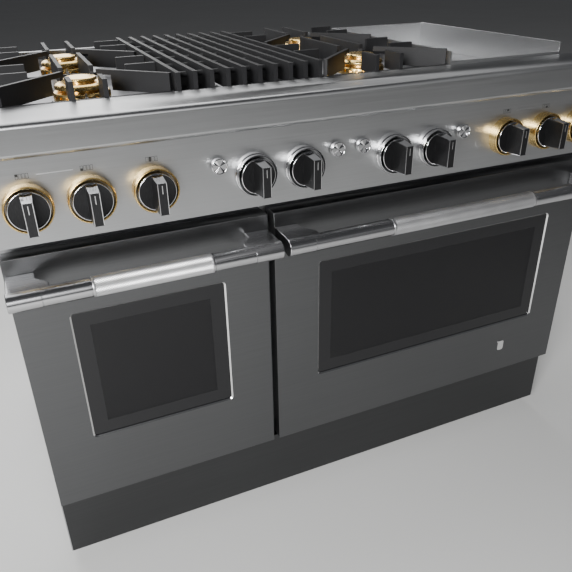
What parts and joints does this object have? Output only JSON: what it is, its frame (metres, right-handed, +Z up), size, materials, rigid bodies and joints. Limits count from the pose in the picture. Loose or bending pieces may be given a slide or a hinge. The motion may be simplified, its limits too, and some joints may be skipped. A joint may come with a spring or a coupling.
{
  "type": "gas range",
  "caption": "Freestanding stainless gas range with a small and a large oven, brass burners, iron grates, a grill and a griddle.",
  "frame": {"origin": "middle of the footprint on the floor, under the four feet", "axes": "+X to the right seen from the front, -Y towards the cook, +Z up"},
  "size_m": [1.216, 0.784, 0.944],
  "materials": {
    "stainless": "horizontal brushed grain",
    "plated_steel": "zinc plated",
    "pan_steel": "satin, darker than the front",
    "enamel": "black vitreous enamel",
    "glass": "dark tinted",
    "iron": "matte black enamelled iron",
    "brass": "satin",
    "chrome": "polished",
    "knob_metal": "polished rim and dark face",
    "casting": "as cast",
    "pipe": "grey powder coat"
  },
  "bodies": {
    "chassis": {"base_frame": "plated_steel", "brass_bezels": "brass", "burner_bases": "casting", "burner_heads": "brass", "chrome_bezels": "chrome", "control_bodies": "casting", "control_panel": "stainless", "cooktop_pan": "pan_steel", "fan_covers": "enamel", "front_frame": "stainless", "gas_manifold": "pipe", "griddle_surround": "stainless", "kick_panel": "stainless", "levelling_feet": "plated_steel", "oven_burners": "plated_steel", "oven_liner_left": "enamel", "oven_liner_right": "enamel", "rack_guides": "chrome", "rear_panel": "plated_steel", "rear_trim": "stainless", "side_panel_left": "stainless", "side_panel_right": "stainless", "top_rail": "stainless", "tube_burners": "plated_steel"},
    "door_left": {"door_left_panel": "stainless", "door_left_glass": "glass", "door_left_inner": "enamel", "door_left_handle": "stainless"},
    "rack_left": {"oven_rack_left": "chrome"},
    "fan_rotor_left": {"fan_left": "casting"},
    "door_right": {"door_right_panel": "stainless", "door_right_glass": "glass", "door_right_inner": "enamel", "door_right_handle": "stainless"},
    "rack_right": {"oven_rack_right": "chrome"},
    "fan_rotor_right": {"fan_right": "casting"},
    "stem_1": {"valve_stem_1": "plated_steel"},
    "burner_control_1": {"burner_knob_1": "knob_metal"},
    "stem_2": {"valve_stem_2": "plated_steel"},
    "burner_control_2": {"burner_knob_2": "knob_metal"},
    "stem_3": {"valve_stem_3": "plated_steel"},
    "burner_control_3": {"burner_knob_3": "knob_metal"},
    "stem_4": {"valve_stem_4": "plated_steel"},
    "burner_control_4": {"burner_knob_4": "knob_metal"},
    "stem_5": {"valve_stem_5": "plated_steel"},
    "burner_control_5": {"burner_knob_5": "knob_metal"},
    "stem_6": {"valve_stem_6": "plated_steel"},
    "burner_control_6": {"burner_knob_6": "knob_metal"},
    "oven_control_1": {"oven_knob_1": "knob_metal"},
    "button_1": {"push_button_1": "chrome"},
    "oven_control_2": {"oven_knob_2": "knob_metal"},
    "button_2": {"push_button_2": "chrome"},
    "oven_control_3": {"oven_knob_3": "knob_metal"},
    "button_3": {"push_button_3": "chrome"},
    "oven_control_4": {"oven_knob_4": "knob_metal"},
    "button_4": {"push_button_4": "chrome"},
    "lift_grate_left": {"grate_left": "iron"},
    "lift_grate_right": {"grate_right": "iron"},
    "lift_grill": {"grill_grate": "iron"},
    "lift_griddle": {"griddle_plate": "stainless"}
  },
  "joints": [
    {"name": "door_left_hinge", "type": "hinge", "parent": "chassis", "child": "door_left", "pos_m": [-0.3835, -0.304, 0.197], "axis": [1, 0, 0], "range_deg": [0, 90], "stiffness_Nm_per_rad": 9, "springref_deg": -20.05},
    {"name": "rack_left_slide", "type": "slide", "parent": "chassis", "child": "rack_left", "axis": [0, -1, 0], "range_m": [0, 0.025]},
    {"name": "fan_left_spin", "type": "hinge", "parent": "chassis", "child": "fan_rotor_left", "pos_m": [-0.3805, 0.264, 0.44], "axis": [0, 1, 0], "continuous": true},
    {"name": "door_right_hinge", "type": "hinge", "parent": "chassis", "child": "door_right", "pos_m": [0.2285, -0.304, 0.197], "axis": [1, 0, 0], "range_deg": [0, 90], "stiffness_Nm_per_rad": 16, "springref_deg": -20.05},
    {"name": "rack_right_slide", "type": "slide", "parent": "chassis", "child": "rack_right", "axis": [0, -1, 0], "range_m": [0, 0.025]},
    {"name": "fan_right_spin", "type": "hinge", "parent": "chassis", "child": "fan_rotor_right", "pos_m": [0.2255, 0.264, 0.44], "axis": [0, 1, 0], "continuous": true},
    {"name": "stem_1_push", "type": "slide", "parent": "chassis", "child": "stem_1", "axis": [0, 1, 0], "range_m": [0, 0.003], "stiffness_N_per_m": 500},
    {"name": "burner_knob_1_turn", "type": "hinge", "parent": "stem_1", "child": "burner_control_1", "pos_m": [-0.548, -0.316, 0.787], "axis": [0, -1, 0], "range_deg": [0, 230]},
    {"name": "stem_2_push", "type": "slide", "parent": "chassis", "child": "stem_2", "axis": [0, 1, 0], "range_m": [0, 0.003], "stiffness_N_per_m": 500},
    {"name": "burner_knob_2_turn", "type": "hinge", "parent": "stem_2", "child": "burner_control_2", "pos_m": [-0.455, -0.316, 0.787], "axis": [0, -1, 0], "range_deg": [0, 230]},
    {"name": "stem_3_push", "type": "slide", "parent": "chassis", "child": "stem_3", "axis": [0, 1, 0], "range_m": [0, 0.003], "stiffness_N_per_m": 500},
    {"name": "burner_knob_3_turn", "type": "hinge", "parent": "stem_3", "child": "burner_control_3", "pos_m": [-0.355, -0.316, 0.787], "axis": [0, -1, 0], "range_deg": [0, 230]},
    {"name": "stem_4_push", "type": "slide", "parent": "chassis", "child": "stem_4", "axis": [0, 1, 0], "range_m": [0, 0.003], "stiffness_N_per_m": 500},
    {"name": "burner_knob_4_turn", "type": "hinge", "parent": "stem_4", "child": "burner_control_4", "pos_m": [0.355, -0.316, 0.787], "axis": [0, -1, 0], "range_deg": [0, 230]},
    {"name": "stem_5_push", "type": "slide", "parent": "chassis", "child": "stem_5", "axis": [0, 1, 0], "range_m": [0, 0.003], "stiffness_N_per_m": 500},
    {"name": "burner_knob_5_turn", "type": "hinge", "parent": "stem_5", "child": "burner_control_5", "pos_m": [0.455, -0.316, 0.787], "axis": [0, -1, 0], "range_deg": [0, 230]},
    {"name": "stem_6_push", "type": "slide", "parent": "chassis", "child": "stem_6", "axis": [0, 1, 0], "range_m": [0, 0.003], "stiffness_N_per_m": 500},
    {"name": "burner_knob_6_turn", "type": "hinge", "parent": "stem_6", "child": "burner_control_6", "pos_m": [0.548, -0.316, 0.787], "axis": [0, -1, 0], "range_deg": [0, 230]},
    {"name": "oven_knob_1_turn", "type": "hinge", "parent": "chassis", "child": "oven_control_1", "pos_m": [-0.183, -0.316, 0.787], "axis": [0, -1, 0], "range_deg": [-270, 0]},
    {"name": "oven_knob_2_turn", "type": "hinge", "parent": "chassis", "child": "oven_control_2", "pos_m": [-0.091, -0.316, 0.787], "axis": [0, -1, 0], "range_deg": [-270, 0]},
    {"name": "oven_knob_3_turn", "type": "hinge", "parent": "chassis", "child": "oven_control_3", "pos_m": [0.091, -0.316, 0.787], "axis": [0, -1, 0], "range_deg": [-270, 0]},
    {"name": "oven_knob_4_turn", "type": "hinge", "parent": "chassis", "child": "oven_control_4", "pos_m": [0.183, -0.316, 0.787], "axis": [0, -1, 0], "range_deg": [-270, 0]},
    {"name": "button_1_push", "type": "slide", "parent": "chassis", "child": "button_1", "axis": [0, 1, 0], "range_m": [0, 0.002], "stiffness_N_per_m": 300},
    {"name": "button_2_push", "type": "slide", "parent": "chassis", "child": "button_2", "axis": [0, 1, 0], "range_m": [0, 0.002], "stiffness_N_per_m": 300},
    {"name": "button_3_push", "type": "slide", "parent": "chassis", "child": "button_3", "axis": [0, 1, 0], "range_m": [0, 0.002], "stiffness_N_per_m": 300},
    {"name": "button_4_push", "type": "slide", "parent": "chassis", "child": "button_4", "axis": [0, 1, 0], "range_m": [0, 0.002], "stiffness_N_per_m": 300},
    {"name": "lift_grate_left_out", "type": "slide", "parent": "chassis", "child": "lift_grate_left", "axis": [0, 0, 1], "range_m": [0, 0.1]},
    {"name": "lift_grate_right_out", "type": "slide", "parent": "chassis", "child": "lift_grate_right", "axis": [0, 0, 1], "range_m": [0, 0.1]},
    {"name": "lift_grill_out", "type": "slide", "parent": "chassis", "child": "lift_grill", "axis": [0, 0, 1], "range_m": [0, 0.1]},
    {"name": "lift_griddle_out", "type": "slide", "parent": "chassis", "child": "lift_griddle", "axis": [0, 0, 1], "range_m": [0, 0.1]}
  ]
}
